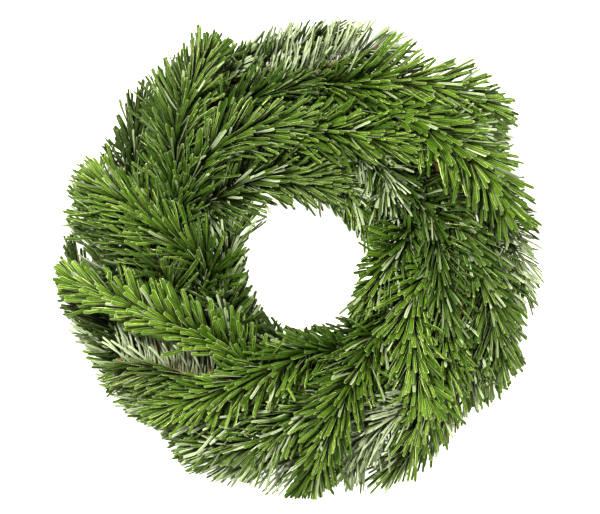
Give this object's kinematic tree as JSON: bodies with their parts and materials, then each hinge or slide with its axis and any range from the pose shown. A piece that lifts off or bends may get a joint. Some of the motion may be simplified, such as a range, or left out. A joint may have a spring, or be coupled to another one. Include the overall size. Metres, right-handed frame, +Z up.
{
  "type": "evergreen wreath",
  "caption": "Round wreath of fresh fir sprigs bound clockwise on a straw ring with wire, open in the middle, lying flat.",
  "frame": {"origin": "centre of the wreath on the surface that it lies on", "axes": "+Z up from the surface through the hole, +Y towards the top of the wreath, +X to its right as seen from above"},
  "size_m": [0.2979, 0.2935, 0.0801],
  "materials": {
    "straw": "dry straw, matte with a faint sheen along the stalks",
    "wire": "green lacquer, satin",
    "fir_bright": "waxy young needles, semi-gloss yellow green",
    "fir_mid": "waxy needles, semi-gloss mid green",
    "fir_dark": "waxy older needles, semi-gloss dark green",
    "fir_silver": "waxy needles turned to show their silver bands"
  },
  "bodies": {
    "root": {"straw_ring": "straw", "binding_wire": "wire", "sprig_left_bright": "fir_bright", "sprig_right_big": "fir_bright", "sprig_bottom_left_herring": "fir_bright", "sprig_bottom_bright": "fir_bright", "sprig_topright_long": "fir_bright", "sprig_top_inner_bright": "fir_bright", "sprig_right_bright_down": "fir_bright", "sprig_left_upper_bright": "fir_bright", "sprig_hole_right": "fir_bright", "sprig_bottomright_mid": "fir_bright", "sprig_topleft_sweep": "fir_mid", "sprig_topleft_tall": "fir_mid", "sprig_right_mid_dark": "fir_mid", "sprig_right_lower_outer": "fir_mid", "sprig_bottom_lower": "fir_mid", "sprig_top_knot": "fir_mid", "sprig_top_inner_arc": "fir_dark", "sprig_left_mid": "fir_mid", "sprig_right_upper_mid": "fir_mid", "sprig_left_bottom_fan": "fir_mid", "sprig_topleft_fill": "fir_mid", "sprig_left_low": "fir_mid", "sprig_left_gap_dark": "fir_dark", "sprig_bottom_left_fill": "fir_dark", "sprig_topleft_outer": "fir_dark", "sprig_top_back_left": "fir_dark", "sprig_right_lower_dark": "fir_dark", "sprig_bottomright_under": "fir_dark", "sprig_left_outer_low": "fir_dark", "sprig_left_rim": "fir_dark", "sprig_hole_top_right": "fir_mid", "sprig_hole_bottom": "fir_dark", "sprig_hole_bottom_left": "fir_dark", "sprig_top_silver_long": "fir_silver", "sprig_left_silver": "fir_silver", "sprig_top_hang_silver": "fir_silver", "sprig_bottom_silver": "fir_silver", "sprig_hole_left": "fir_silver", "sprig_top_silver_left": "fir_silver", "sprig_right_tip_silver": "fir_silver", "sprig_right_outer": "fir_silver", "sprig_bottom_outer_under": "fir_silver"}
  },
  "joints": []
}
